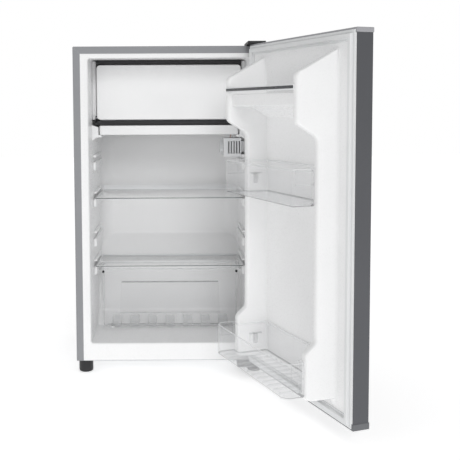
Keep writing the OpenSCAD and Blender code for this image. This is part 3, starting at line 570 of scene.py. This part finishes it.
def make_wrap():
    """The folded steel skin: flange round the front, sides and top, with rounded folds."""
    radius = 3
    fold = 2.4
    sheet = 1
    top = BODY_H
    profile = [(FLANGE, sheet), (FLANGE, 0)]
    profile += [(fold * (1 - sine), fold * (1 - cosine)) for sine, cosine in quarter()]
    profile += [(0, BODY_D), (sheet, BODY_D), (sheet, 2 * sheet)]

    def ring(inset, depth):
        points = [(-HALF + inset, depth, 0)]
        for side, turns in ((-1, quarter()), (1, quarter()[::-1])):
            for sine, cosine in turns:
                if inset < radius:
                    x = HALF - radius + (radius - inset) * cosine
                    z = top - radius + (radius - inset) * sine
                else:
                    x, z = HALF - inset, top - inset
                points.append((side * x, depth, z))
        points.append((HALF - inset, depth, 0))
        return points

    bm = bmesh.new()
    lofted(bm, [ring(*p) for p in profile], closed=False)
    bmesh.ops.remove_doubles(bm, verts=bm.verts, dist=0.001)
    finish_piece("outer_wrap_folded", bm, "cabinet", "wrap_steel", ("outer_wrap",), in_cabinet)
    lines = bmesh.new()
    start = 2.6
    for side in (-1, 1):
        outer_x = side * (HALF - start)
        inner_x = side * (HALF - FLANGE)
        outline = [(outer_x, top - start - 0.3), (outer_x, top - start + 0.1),
                   (inner_x, top - FLANGE + 0.2), (inner_x, top - FLANGE - 0.2)]
        add_prism(lines, outline, "y", -0.05, 0.5)
    finish_piece("wrap_mitre_lines", lines, "cabinet", "grey_plastic", (), in_cabinet)


# ---------- ice box ----------

def rounded_rect(x0, x1, z0, z1, radius):
    """A rectangle with its corners turned into arcs."""
    return rounded([(x0, z0), (x1, z0), (x1, z1), (x0, z1)], radius, 6)


def make_flap():
    """The ice box flap: a softly crowned front with rounded corners, and its lining behind."""
    low, high = box_of("ice_box_flap")
    x1, z0, z1, front = high.x, low.z, high.z, low.y
    rings = []
    for inset, depth in ((0, 9), (0, 3.2), (0.5, 1.7), (1.6, 0.6), (3.2, 0.15), (5, 0), (14, -0.15),
                         (34, -0.25), (60, -0.3)):
        outline = rounded_rect(-x1 + inset, x1 - inset, z0 + inset, z1 - inset,
                               max(9 - inset, 1.5))
        rings.append([(x, front + 0.3 + depth, z) for x, z in outline])
    bm = bmesh.new()
    lofted(bm, rings, cap_last=True)
    rings = []
    for inset, depth in ((0, 9), (8, 9), (8, 12.2), (9, 13), (15, 13), (17, 11.5), (30, 11.5)):
        outline = rounded_rect(-x1 + inset, x1 - inset, z0 + inset, z1 - inset, max(9 - inset, 2))
        rings.append([(x, front + depth, z) for x, z in outline])
    lofted(bm, rings, cap_last=True)
    bmesh.ops.remove_doubles(bm, verts=bm.verts, dist=0.01)
    finish_piece("ice_box_flap_moulded", bm, "flap", "flap_white",
                 ("ice_box_flap", "flap_insulation"), in_cabinet, smooth=40)


def make_ice_frame():
    """The dark frame round the ice box: two soft bars, hidden posts, and lugs at the bottom."""
    low, high = box_of("ice_box_frame")
    bar = high.x - 8.5
    bar_h = 12
    lug_y = 106
    bm = bmesh.new()
    for z0, z1 in ((high.z - bar_h, high.z), (low.z, low.z + bar_h)):
        add_prism(bm, rounded_rect(-bar, bar, z0 + 0.4, z1 - 0.2, 4.5), "y", 95.5, high.y, 1.2, 3)
    post = ((179, 185.5), (lug_y, high.y), (low.z + 8, high.z - 8))
    pin_lug = ((187.5, 190), (low.y, lug_y), (low.z + 4, low.z + 24.5))
    ear = ((184, high.x), (96, 107), (low.z, low.z + 7))
    for side in (-1, 1):
        for xs, ys, zs in (post, pin_lug, ear):
            add_side_box(bm, side, xs, ys, zs, 0.9)
    finish_piece("ice_box_frame_moulded", bm, "cabinet", "black_plastic", ("ice_box_frame",),
                 in_cabinet)


def make_evaporator():
    """The aluminium ice box: a rounded sheet box, open in front, with refrigerant channels."""
    low, high = box_of("evaporator")
    sheet = 1.6
    radius = 9
    back_y = high.y - 4

    def ring(inset, y, corner):
        outline = rounded_rect(low.x + inset, high.x - inset, low.z + inset, high.z - inset, corner)
        return [(x, y, z) for x, z in outline]

    rings = [ring(4, high.y, radius), ring(0, back_y, radius), ring(0, low.y, radius)]
    rings += [ring(sheet, low.y, radius - sheet), ring(sheet, back_y - sheet, radius - sheet),
              ring(4, high.y - sheet, radius - sheet)]
    bm = bmesh.new()
    lofted(bm, rings, cap_first=True, cap_last=True)
    channel = 3.4
    sides = 10
    front = low.y + 22
    back = high.y - 22
    runs = 7
    route = []
    for i in range(runs):
        y = front + (back - front) * i / (runs - 1)
        start_x = -150 if i % 2 == 0 else 150
        route += [(start_x, y), (-start_x, y)]
    flat_route = rounded(route, 10, 5, closed=False)
    for z in (low.z + sheet + 0.2, high.z - sheet - 0.2):
        add_tube(bm, [(x, y, z) for x, y in flat_route], channel, sides)
    back = high.y - 24
    route = [(front, 640), (back, 640), (back, 676), (front, 676), (front, 712), (back, 712)]
    side_route = rounded(route, 12, 5, closed=False)
    for side in (-1, 1):
        x = side * (high.x - sheet)
        add_tube(bm, [(x, y, z) for y, z in side_route], channel, sides)
    finish_piece("evaporator_channelled", bm, "cabinet", "evaporator_aluminium", ("evaporator",),
                 in_cabinet, smooth=45)


def make_drip_tray():
    """The white tray under the ice box, with a rolled rim."""
    low, high = box_of("drip_tray")
    bm = bmesh.new()
    rings = []
    wall = 2
    for inset, z in ((3, low.z), (1.2, low.z + 0.6), (0.2, low.z + 2.4), (0, high.z - 2),
                     (0.5, high.z - 0.5), (1, high.z), (1.5, high.z - 0.4), (wall, high.z - 1.4),
                     (wall, low.z + 5), (wall + 1, low.z + 3), (wall + 3, low.z + wall)):
        outline = rounded_rect(low.x + inset, high.x - inset, low.y + inset, high.y - inset,
                               max(7 - inset, 1.5))
        rings.append([(x, y, z) for x, y in outline])
    lofted(bm, rings, cap_first=True, cap_last=True)
    finish_piece("drip_tray_moulded", bm, "tray", "flap_white", ("drip_tray",), in_cabinet,
                 smooth=40)


# ---------- shelves and crisper ----------

def make_glass(node, body):
    """Shelf glass: the front and side edges are painted dark green, partly the glass's own tint and
    partly painted shade for the light lost along the pane; the chamfers are painted white as
    highlights; the back edge stays clear.
    """
    low, high = box_of(node)
    bm = bmesh.new()
    add_box(bm, low, high, 0.9, 2)
    piece = finish_piece(node + "_painted_edges", bm, body, "shelf_glass", (node,), in_cabinet,
                         extra=("glass_edge_painted_shade", "flap_white"))
    # Near-upright faces get the painted dark edge; chamfers get flap_white as a painted highlight.
    for polygon in piece.data.polygons:
        upward = abs(polygon.normal.z)
        if polygon.normal.y > 0.7:
            continue
        if upward < 0.2:
            polygon.material_index = 1
        elif upward < 0.95:
            polygon.material_index = 2


def ridge_faces(bm, rows):
    """A raised strip between two outlines, with both its ends filled and its underside open."""
    made = lofted(bm, rows, closed=False)
    for row in (made[0], list(reversed(made[-1]))):
        bm.faces.new(row)


def add_ridge(bm, outline, x0, x1, index=0):
    """A rounded ridge across a floor, in one of the piece's materials."""
    part = bmesh.new()
    ridge_faces(part, [[(x, y, z) for y, z in outline] for x in (x0, x1)])
    round_edges(part, 1.0, 2, 50)
    for face in part.faces:
        face.material_index = index
    merge_part(bm, part)


def mark_edges(piece, base, top):
    """Gives a clear moulding a painted highlight along its rim, and a painted dark line round the
    bottom.
    """
    for polygon in piece.data.polygons:
        z = (polygon.center.z - CABINET_ORIGIN.z) / MM
        if z > top - 1.4:
            polygon.material_index = 1
        elif z < base + 1.6 and abs(polygon.normal.z) < 0.95:
            polygon.material_index = 2


def make_crisper():
    """The clear drawer: leaning front, rim, pull, and a fluted floor."""
    rim_high = box_of("crisper_drawer")[1]
    half = rim_high.x
    top = rim_high.z
    back = rim_high.y
    front = 112
    lean = 36
    lip = 7
    wall = 2.2
    chamfer = 32
    chamfer_reach = 35
    base = FLOOR_Z + GLIDE_H

    def ring(z, inset, flare=0.0):
        down = (top - z) / (top - base)
        y0 = front + lean * down + inset - flare
        y1 = back - inset - max(0, (base + chamfer - z)) * chamfer_reach / chamfer
        x1 = half - lip - 2 * down - inset + flare
        corner = max(3, 12 - inset)
        outline = rounded([(-x1, y0), (x1, y0), (x1, y1), (-x1, y1)], [corner, corner, 8, 8], 5)
        return [(x, y, z) for x, y in outline]

    rings = [ring(base, 3.5), ring(base + 1.2, 1.2), ring(base + 3.5, 0)]
    rings += [ring(z, 0) for z in (60, 80, 120, 160, top - 6, top - 3.6)]
    rings += [ring(top - 3, 0, 1), ring(top - 2.6, 0, 6.4), ring(top - 1, 0, 7), ring(top, 0, 6)]
    rings += [ring(top, 1.2), ring(top - 1, wall), ring(top - 5, wall)]
    bm = bmesh.new()
    lofted(bm, rings, cap_first=True)
    flute_pitch = 48
    flute_half = 12
    flute = rounded([(151, base + 0.6), (152, base + 6), (169, base + 6), (186, base + 23),
                     (193, base + 20)], [0, 2.5, 6, 3, 0], 3, closed=False)
    # The flutes take the painted-glint clear in slot 3.
    for i in range(-3, 4):
        x = i * flute_pitch
        add_ridge(bm, flute, x - flute_half, x + flute_half, 3)
    add_pull(bm)
    # The rim gets a painted highlight, the bottom edge a painted dark line and the flutes painted
    # glints.
    piece = finish_piece("crisper_drawer_moulded", bm, "crisper", "clear_plastic",
                         ("crisper_drawer",), in_cabinet, smooth=40,
                         extra=("clear_rim_painted_highlight", "clear_line_painted_shade", "clear_fluted_painted_glint"))
    mark_edges(piece, base, top)


def add_pull(bm):
    """The raised panel on the drawer's front, wider at its foot, which the fingers pull."""
    top = 177
    foot = 88
    half_top = 128
    half_foot = 134
    outline = rounded([(120, top + 0.5), (115, top), (118.5, 161), (133.6, foot + 1), (139, foot)],
                      [0, 2.5, 2, 1.5, 0], 3, closed=False)
    part = bmesh.new()
    rows = []
    for side in (-1, 1):
        rows.append([(side * (half_top + (half_foot - half_top) * (top - z) / (top - foot)), y, z)
                     for y, z in outline])
    ridge_faces(part, rows)
    # The pull's ends get the painted highlight, and its top and foot edges get the painted dark
    # line.
    for face in part.faces:
        middle = face.calc_center_median().z
        face.material_index = 2 if middle > top - 7 or middle < foot + 4 else 0
        if len(face.verts) > 4:
            face.material_index = 1
    merge_part(bm, part)


# ---------- door ----------

def door_liner_rows():
    """Heights up the door, each with how far the ribs reach there, from their rounded profile."""
    path = [(14.5, 0), (30.5, 0), (46, 9), (47, 70), (144, 70), (166, 45), (577, 45), (605, 93),
            (705, 93), (753, 0), (778.5, 0)]
    radii = [0, 3, 5, 11, 16, 18, 18, 14, 16, 8, 0]
    known = sorted(((p.x, p.y) for p in rounded(path, radii, 6, closed=False)),
                   key=lambda row: row[0])

    def reach_at(z):
        for (za, ra), (zb, rb) in zip(known, known[1:]):
            if za <= z <= zb:
                return ra + (rb - ra) * (z - za) / max(zb - za, 1e-6)
        return 0

    between = (22, 90, 120, 200, 260, 320, 380, 440, 500, 550, 630, 655, 680, 766)
    return sorted(known + [(z, reach_at(z)) for z in between], key=lambda row: row[0])


def pan_depth(z):
    """How deep the pan between the ribs is at a height: it runs out softly at both ends."""
    edge = min(z - 40, 750 - z)
    t = min(max(edge / 6, 0), 1)
    return PAN_DEPTH * t * t * (3 - 2 * t)


def door_section(z, reach, thinner=0.0):
    """The liner's cross-section at a height, from edge to edge, as (x, height) points."""
    base_r = 6
    foot_r = 3.2
    top_r = 7
    draft = 1.5
    end_low = 44
    end_r = 9
    narrow = 0
    if z < end_low + end_r:
        d = max(z - end_low, 0)
        narrow = 6 - 6 * math.sqrt(max(0, 1 - (1 - d / end_r) ** 2))
    depth = pan_depth(z)
    outer = RIB_OUT - narrow - thinner
    inner = RIB_IN + narrow * 0.4 + thinner
    s = min(1, reach / (base_r + top_r))
    s_in = min(1, (reach + depth) / (base_r + top_r))
    side = HALF - 1 - thinner * 0.2
    half = [(side, -9), (side, 0), (222, 0), (200, 0), (188, 0)]
    for sine, cosine in quarter():
        half.append((outer + base_r * (1 - sine), s * base_r * (1 - cosine)))
    for sine, cosine in quarter():
        half.append((outer - draft - top_r * (1 - cosine), reach - s * top_r * (1 - sine)))
    for sine, cosine in quarter():
        half.append((inner + draft + top_r * (1 - sine), reach - s_in * top_r * (1 - cosine)))
    for sine, cosine in quarter():
        half.append((inner - foot_r * (1 - cosine), -depth + s_in * foot_r * (1 - sine)))
    half += [(130, -depth), (100, -depth), (60, -depth)]
    return [(-x, h) for x, h in half] + [(0, -depth)] + [(x, h) for x, h in reversed(half)]


def make_door_liner():
    """The vacuum-formed inner skin: a shallow pan between two tall ribs."""
    rings = []
    for z, reach in door_liner_rows():
        rings.append([(x, -DOOR_GAP + h, z) for x, h in door_section(z, reach)])
    bm = bmesh.new()
    lofted(bm, rings, closed=False)
    # The skin is open, so which side faces out is judged from these normals
    for face in bm.faces:
        face.normal_update()
    ledge = [(-15, 612), (-12, 615), (20, 634), (68, 639), (74, 641), (74, 667), (69, 667),
             (66, 660), (-4, 659), (-14, 672), (-16, 672)]
    outline = rounded(ledge, [0, 4, 18, 8, 3, 2.2, 1.5, 4, 6, 0, 0], 4)
    add_prism(bm, outline, "x", -152, 152)
    for side in (-1, 1):
        for balcony_z in (MID_BALCONY_Z, LOW_BALCONY_Z):
            low = balcony_z + LUG_RISE
            for y in (2, 22):
                add_side_box(bm, side, (147.8, 153), (y, y + 8), (low, low + LUG_H), 1)
    finish_piece("door_liner_moulded", bm, "door", "liner_white", ("door_liner",), in_door,
                 smooth=42)


def make_door_foam():
    """The foam behind the liner, which follows it a little further in."""
    shell = 2
    rings = []
    for z, reach in door_liner_rows():
        section = [(x, h - shell) for x, h in door_section(z, max(reach, 0), shell)]
        section[0] = (section[1][0], 1 - DOOR_T)
        section[-1] = (section[-2][0], 1 - DOOR_T)
        rings.append([(x, -DOOR_GAP + h, z) for x, h in section])
    bm = bmesh.new()
    lofted(bm, rings, cap_first=True, cap_last=True)
    finish_piece("door_foam_core", bm, "door", "foam", ("door_foam",), in_door, smooth=42)


def make_gasket():
    """The bellows gasket: its profile, as (inset, height), swept round the door."""
    edge = 4
    profile = [(0, 0.1), (0, 1.6), (0.8, 2.4), (4.6, 2.5), (5.4, 1.7), (6.2, 1.7), (7, 2.6),
               (7.2, 6.8), (8, 8.1), (9.4, 8.5), (14.6, 8.5), (16, 8.1), (16.8, 6.8), (17, 3),
               (17.8, 1.7), (18.6, 1.7), (19.3, 2.5), (21.2, 2.4), (22, 1.5), (22, 0.1)]
    rings = []
    for inset, height in profile:
        x = HALF - edge - inset
        y = -DOOR_GAP + height
        z0 = edge + inset
        z1 = DOOR_H - edge - inset
        rings.append([(-x, y, z0), (x, y, z0), (x, y, z1), (-x, y, z1)])
    bm = bmesh.new()
    lofted(bm, rings)
    finish_piece("door_gasket_profiled", bm, "door", "gasket_vinyl", ("door_gasket",), in_door,
                 smooth=30)


def make_balcony(name, node, body, base, height, reach, rib_depth, half_front, cut, floor_ribs):
    """A clear door balcony: thin walls, rolled rim, ribbed floor and reinforced ends."""
    wall = 2.2
    half_back = RIB_IN - 4.6
    y_back = -DOOR_GAP - PAN_DEPTH + 1.4
    y_step = -DOOR_GAP + rib_depth + 0.8
    y_front = -DOOR_GAP + reach
    right = [(half_back, y_back), (half_back, y_step), (half_front, y_step),
             (half_front, y_front - cut), (half_front - cut, y_front)]
    plan = right + [(-x, y) for x, y in reversed(right)]
    front_r = 8 if cut > 5 else 4
    radii = [6, 3, 5, front_r, front_r, front_r, front_r, 5, 3, 6]
    inward = (1, 8)

    def ring(z, inset):
        grown = [max(0.4, r + inset) if i in inward else max(0.4, r - inset)
                 for i, r in enumerate(radii)]
        return [(p.x, p.y, z) for p in rounded(offset(plan, inset), grown, 4)]

    top = base + height
    rings = [ring(base, 2.4), ring(base + 0.7, 0.8), ring(base + 2.4, 0)]
    rings += [ring(top - 8, 0), ring(top - 7.4, 0), ring(top - 1, 0), ring(top, 0.8)]
    rings += [ring(top, 1.4), ring(top - 1, wall), ring(top - 5, wall)]
    bm = bmesh.new()
    lofted(bm, rings, cap_first=True)
    rib_span = 2 * (RIB_IN - 12)
    rib = [(2, base + 0.3), (3, base + 4), (y_front - 7, base + 4), (y_front - 6, base + 0.3)]
    for i in range(floor_ribs):
        x = (i - (floor_ribs - 1) / 2) * rib_span / (floor_ribs - 1)
        add_ridge(bm, rib, x - 1.5, x + 1.5)
    hook_x = (146.5, 150.2)
    hook_z = base + LUG_RISE + LUG_H
    for side in (-1, 1):
        add_end_frame(bm, side, half_front, (y_step + 3, y_front - cut - 3), (top - 33, top - 3))
        add_side_box(bm, side, hook_x, (0, 32), (hook_z, hook_z + 3), 0.8)
        add_side_box(bm, side, hook_x, (11, 21), (base + 20, hook_z + 1), 0.8)
    # The rim gets a painted highlight and the bottom edge a painted dark line.
    piece = finish_piece(name, bm, body, "clear_plastic", (node,), in_door, smooth=40,
                         extra=("clear_rim_painted_highlight", "clear_line_painted_shade"))
    mark_edges(piece, base, top)


def add_end_frame(bm, side, x, ys, zs):
    """A raised rectangle on the end wall of a balcony."""
    bead = 2.2
    xs = (x - 0.2, x + 1)
    for z in (zs[0], zs[1] - bead):
        add_side_box(bm, side, xs, ys, (z, z + bead), 0.5)
    for y in (ys[0], ys[1] - bead):
        add_side_box(bm, side, xs, (y, y + bead), zs, 0.5)


def make_retaining_bar():
    """A pale carrier with a dark strip let into its front."""
    y = 83
    z = 677
    bm = bmesh.new()
    add_box(bm, (-163, y + 0.1, z - 5.6), (163, y + 2.8, z + 5.6), 1.2)
    for side in (-1, 1):
        add_side_box(bm, side, (146.4, RIB_IN), (y - 8, y + 1), (z - 5, z + 5), 1)
    finish_piece("retaining_bar_carrier", bm, "door", "white_plastic", (), in_door)
    bm = bmesh.new()
    add_box(bm, (-162, y + 1, z - 3.2), (162, y + 3.6, z + 3.2), 1)
    finish_piece("retaining_bar_strip", bm, "door", "smoked_plastic", ("door_retaining_bar",),
                 in_door)


def make_door_caps():
    """The plastic caps over the door's two ends, which stand a little proud of its skin."""
    proud = 0.5
    for node, z0, z1 in (("door_top_cap", DOOR_H - TOP_CAP_H, DOOR_H),
                         ("door_bottom_cap", 0, BOTTOM_CAP_H)):
        bm = bmesh.new()
        add_box(bm, (-HALF - proud, -DOOR_GAP - DOOR_T - proud, z0),
                (HALF + proud, -DOOR_GAP, z1), 1.6, 3)
        finish_piece(node + "_moulded", bm, "door", slot_of(node), (node,), in_door)


def make_door_panel():
    """The door's steel skin: a folded sheet with rounded front edges."""
    y0 = -DOOR_GAP - DOOR_T
    y1 = -DOOR_GAP
    radius = 4
    sheet = 1
    x = HALF - sheet
    outer = rounded([(-HALF, y1), (-HALF, y0), (HALF, y0), (HALF, y1)],
                    [0, radius, radius, 0], 6, closed=False)
    inner = rounded([(x, y1), (x, y0 + sheet), (-x, y0 + sheet), (-x, y1)],
                    [0, radius - sheet, radius - sheet, 0], 6, closed=False)
    bm = bmesh.new()
    lofted(bm, [[(p.x, p.y, z) for p in outer + inner]
                for z in (BOTTOM_CAP_H, DOOR_H - TOP_CAP_H)])
    finish_piece("door_panel_folded", bm, "door", "door_steel", ("door_outer_panel",), in_door)


# ---------- building ----------

make_liner()
make_wrap()
make_flap()
make_ice_frame()
make_evaporator()
make_drip_tray()
make_glass("upper_shelf_glass", "upper_shelf")
make_glass("crisper_cover_glass", "crisper_cover")
make_crisper()
make_door_liner()
make_door_foam()
make_gasket()
make_door_panel()
make_door_caps()
make_retaining_bar()
make_balcony("balcony_mid_moulded", "balcony_mid", "middle_balcony", MID_BALCONY_Z, height=75,
             reach=96, rib_depth=45, half_front=163, cut=1.5, floor_ribs=9)
make_balcony("balcony_bottom_moulded", "balcony_bottom", "low_balcony", LOW_BALCONY_Z, height=71,
             reach=118, rib_depth=70, half_front=173, cut=12, floor_ribs=12)

ROUNDED = {"thermostat_housing": 1.0, "thermostat_knob": 0.5,
           "upper_shelf_trim": 0.8, "crisper_cover_trim": 0.8, "top_hinge_cover": 0.9,
           "top_hinge_plate": 0.4, "lower_hinge_bracket": 0.4, "front_foot_left": 0.8,
           "front_foot_right": 0.8, "rear_feet": 0.8, "compressor_deck": 0.3,
           "compressor_legs": 0.8, "compressor_grommets": 0.6, "compressor_bolts": 0.4,
           "relay_cover": 1.0, "cord_gland": 0.6, "condenser_brackets": 0.8,
           "machine_room_panel": 0.3, "back_panel": 0.3, "bottom_panel": 0.3,
           "top_hinge_screws": 0.3, "lower_hinge_screws": 0.3, "hinge_hole_plugs": 0.4,
           "evaporator_spacers": 0.5, "thermostat_control": 0.6, "front_rail": 0.3,
           "crisper_buffers": 0.5, "door_bushes": 0.3, "flap_pins": 0.3}
for node, bevel in ROUNDED.items():
    refined(node, bevel)
for node in ("compressor_lower_shell", "compressor_upper_shell", "filter_drier", "discharge_tube",
             "suction_tube", "capillary_tube", "sensor_tube", "condenser_tube", "condenser_wires"):
    refined(node, 0, smooth=50)
for node in ("cabinet_foam", "gasket_magnets"):
    cad = frame["nodes"][node]
    cad.data.materials.clear()
    cad.data.materials.append(MATERIALS[slot_of(node)])


# ---------- stage, light and camera ----------

SKY = 0.48
FLOOR_GLOW = 0.55


def make_stage():
    """A pale floor that hardly shades, under an even surround which the camera sees as white."""
    size = 9
    bm = bmesh.new()
    corners = [(-size, -size), (size, -size), (size, size), (-size, size)]
    bm.faces.new([bm.verts.new((x, y, 0)) for x, y in corners])
    mesh = bpy.data.meshes.new("floor")
    bm.to_mesh(mesh)
    bm.free()
    pale = solid("pale_floor", (0.90, 0.90, 0.90), 0.8, grain=60, bump=0.0, spread=0.004)
    shader = pale.node_tree.nodes["Principled BSDF"]
    shader.inputs["Emission Color"].default_value = (1, 1, 1, 1)
    shader.inputs["Emission Strength"].default_value = FLOOR_GLOW
    mesh.materials.append(pale)
    floor = bpy.data.objects.new("floor", mesh)
    bpy.context.scene.collection.objects.link(floor)
    world = bpy.data.worlds.new("studio")
    world.use_nodes = True
    nodes = world.node_tree.nodes
    links = world.node_tree.links
    background = nodes["Background"]
    background.inputs["Color"].default_value = (1, 1, 1, 1)
    path = nodes.new("ShaderNodeLightPath")
    brightness = nodes.new("ShaderNodeMapRange")
    brightness.inputs["To Min"].default_value = SKY
    brightness.inputs["To Max"].default_value = 1.0
    links.new(path.outputs["Is Camera Ray"], brightness.inputs["Value"])
    links.new(brightness.outputs["Result"], background.inputs["Strength"])
    bpy.context.scene.world = world


def add_sun(way, strength, spread):
    """A soft light that shines along a direction."""
    data = bpy.data.lights.new("front light", "SUN")
    data.energy = strength
    data.angle = math.radians(spread)
    light = bpy.data.objects.new("front light", data)
    light.rotation_euler = Vector(way).to_track_quat("-Z", "Y").to_euler()
    bpy.context.scene.collection.objects.link(light)


def make_camera():
    """The view from the front, pitched a little down and shifted to take in the open door."""
    yaw, pitch, roll = (math.radians(a) for a in (0.098, -4.262, -0.299))
    level = math.cos(pitch)
    ahead = Vector((math.sin(yaw) * level, math.cos(yaw) * level, math.sin(pitch)))
    right = Vector((math.cos(yaw), -math.sin(yaw), 0))
    up = right.cross(ahead)
    turned_right = math.cos(roll) * right + math.sin(roll) * up
    turned_up = -math.sin(roll) * right + math.cos(roll) * up
    data = bpy.data.cameras.new("camera")
    data.sensor_width = 36
    data.lens = 64.12
    data.shift_x = 0.12
    data.shift_y = -0.135
    camera = bpy.data.objects.new("camera", data)
    place = in_cabinet((11, -2030, 639))
    turn = Matrix((turned_right, turned_up, -ahead)).transposed().to_4x4()
    camera.matrix_world = Matrix.Translation(place) @ turn
    bpy.context.scene.collection.objects.link(camera)
    bpy.context.scene.camera = camera


make_stage()
add_sun((-0.14, 1, -0.5), 0.76, 25)
make_camera()
view = bpy.context.scene.view_settings
view.view_transform = "Standard"
view.look = "None"
